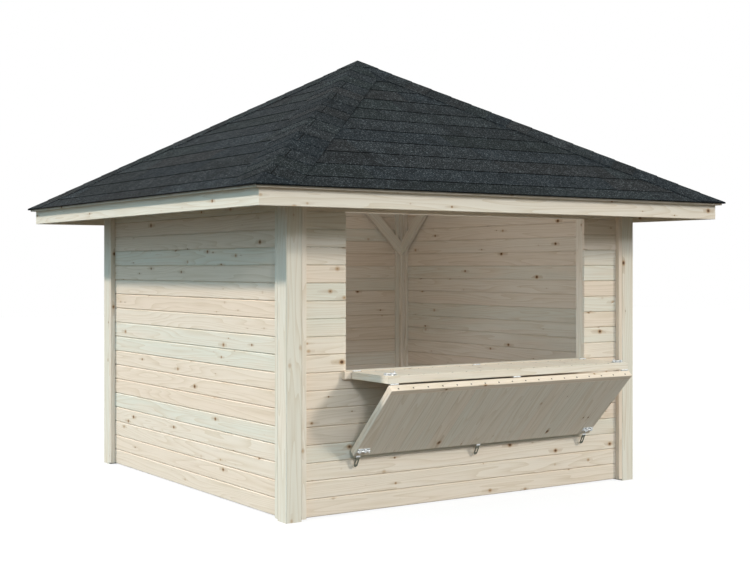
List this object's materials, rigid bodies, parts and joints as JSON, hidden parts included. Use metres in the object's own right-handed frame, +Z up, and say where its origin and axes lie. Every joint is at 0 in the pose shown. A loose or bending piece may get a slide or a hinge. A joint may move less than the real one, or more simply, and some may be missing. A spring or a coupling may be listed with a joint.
{
  "type": "wooden market stall",
  "caption": "Square spruce market stall with corner posts, boarded walls, a pyramid shingle roof and a hatch in two hinged leaves that folds down into a counter.",
  "frame": {"origin": "on the ground under the middle of the square plan, at the level of the posts' feet", "axes": "+Z up, -Y out through the hatch at the front, +X to the right seen from the front"},
  "size_m": [3.846, 3.846, 3.1356],
  "materials": {
    "spruce": "planed, untreated",
    "bitumen_shingle": "coarse mineral granules",
    "galvanised_steel": "zinc plated"
  },
  "bodies": {
    "stall": {"back_wall": "spruce", "corner_post_back_left": "spruce", "corner_post_back_right": "spruce", "corner_post_front_left": "spruce", "corner_post_front_right": "spruce", "fascia_back": "spruce", "fascia_front": "spruce", "fascia_left": "spruce", "fascia_right": "spruce", "front_wall_above_hatch": "spruce", "front_wall_below_hatch": "spruce", "front_wall_left": "spruce", "front_wall_right": "spruce", "hatch_jamb_left": "spruce", "hatch_jamb_right": "spruce", "hatch_rails": "spruce", "hip_caps": "bitumen_shingle", "hip_rafters": "spruce", "inner_battens": "spruce", "jack_rafters": "spruce", "knee_braces": "spruce", "left_wall": "spruce", "outer_battens": "spruce", "right_wall": "spruce", "roof_boards_back": "spruce", "roof_boards_front": "spruce", "roof_boards_left": "spruce", "roof_boards_right": "spruce", "roof_hub": "spruce", "shingles_back": "bitumen_shingle", "shingles_front": "bitumen_shingle", "shingles_left": "bitumen_shingle", "shingles_right": "bitumen_shingle", "sill_hinges": "galvanised_steel", "sill_rail": "spruce", "wall_plates": "spruce"},
    "counter": {"counter_boards": "spruce", "counter_battens": "spruce", "counter_bolts": "galvanised_steel", "counter_hinges": "galvanised_steel"},
    "flap": {"flap_boards": "spruce", "flap_battens": "spruce", "flap_bolts": "galvanised_steel", "flap_hinges": "galvanised_steel", "flap_hasps": "galvanised_steel"}
  },
  "joints": [
    {"name": "counter_swing", "type": "hinge", "parent": "stall", "child": "counter", "pos_m": [0, -1.464, 0.903], "axis": [-1, 0, 0], "range_deg": [0, 90]},
    {"name": "flap_swing", "type": "hinge", "parent": "counter", "child": "flap", "pos_m": [0, -1.88, 0.851], "axis": [-1, 0, 0], "range_deg": [0, 134.03]}
  ]
}
